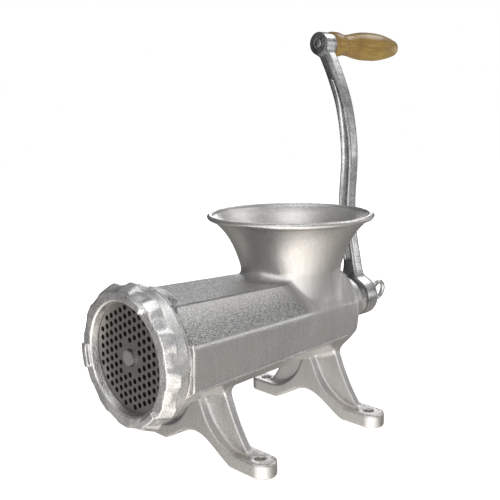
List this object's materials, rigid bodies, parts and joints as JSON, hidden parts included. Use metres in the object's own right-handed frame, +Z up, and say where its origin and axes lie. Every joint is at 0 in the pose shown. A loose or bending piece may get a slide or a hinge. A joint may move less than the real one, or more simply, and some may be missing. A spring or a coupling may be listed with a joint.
{
  "type": "hand crank meat grinder",
  "caption": "Bolt-down hand crank meat grinder: tinned barrel with funnel hopper, perforated outlet plate under a lobed ring nut, curved crank arm with wooden grip.",
  "frame": {"origin": "centre of the four foot bolt holes, at the table surface under the feet", "axes": "+Z up; barrel along Y with the outlet plate toward -Y and the crank toward +Y; +X to the right seen from the outlet"},
  "size_m": [0.169, 0.4243, 0.3801],
  "materials": {
    "tinned_casting": "bright tin coat over a coarse sand casting",
    "tinned_ring": "bright tin coat, hand polished",
    "plate_steel": "ground tool steel",
    "tool_steel": "ground steel",
    "crank_iron": "polished plated casting",
    "zinc_steel": "zinc plated",
    "fibre": "smooth fibre",
    "grip_wood": "clear lacquer over pale hardwood"
  },
  "bodies": {
    "casting": {"body_casting": "tinned_casting", "plate_locating_pin": "tool_steel", "thrust_washer": "fibre", "rear_bushing": "zinc_steel"},
    "rotor": {"auger": "tinned_casting", "auger_stud": "zinc_steel", "cutter_knife": "tool_steel", "crank_arm": "crank_iron", "grip_spindle": "zinc_steel", "grip_inner_washer": "zinc_steel", "grip_outer_washer": "zinc_steel"},
    "grip": {"wooden_grip": "grip_wood"},
    "plate": {"grinding_plate": "plate_steel"},
    "ring": {"ring_nut": "tinned_ring"},
    "screw_washer": {"crank_washer": "zinc_steel"},
    "screw": {"thumb_screw": "crank_iron"}
  },
  "joints": [
    {"name": "crank_spin", "type": "hinge", "parent": "casting", "child": "rotor", "pos_m": [0, 0.1, 0.103], "axis": [0, 1, 0], "continuous": true},
    {"name": "grip_spin", "type": "hinge", "parent": "rotor", "child": "grip", "pos_m": [-0.0485, 0.2, 0.365], "axis": [0, 1, 0], "continuous": true},
    {"name": "plate_travel", "type": "slide", "parent": "casting", "child": "plate", "axis": [0, -1, 0], "range_m": [0, 0.0125]},
    {"name": "ring_unscrew", "type": "hinge", "parent": "plate", "child": "ring", "pos_m": [0, -0.14, 0.103], "axis": [0, -1, 0], "range_deg": [0, 1440]},
    {"name": "washer_travel", "type": "slide", "parent": "rotor", "child": "screw_washer", "axis": [0, 1, 0], "range_m": [0, 0.018]},
    {"name": "thumb_screw_unscrew", "type": "hinge", "parent": "screw_washer", "child": "screw", "pos_m": [0, 0.16, 0.103], "axis": [0, 1, 0], "range_deg": [0, 4331]}
  ],
  "couplings": [
    {"joint": "plate_travel", "follows": "ring_unscrew", "m_per_rad": 0.00047746},
    {"joint": "thumb_screw_unscrew", "follows": "washer_travel", "rad_per_m": 4188.8}
  ]
}
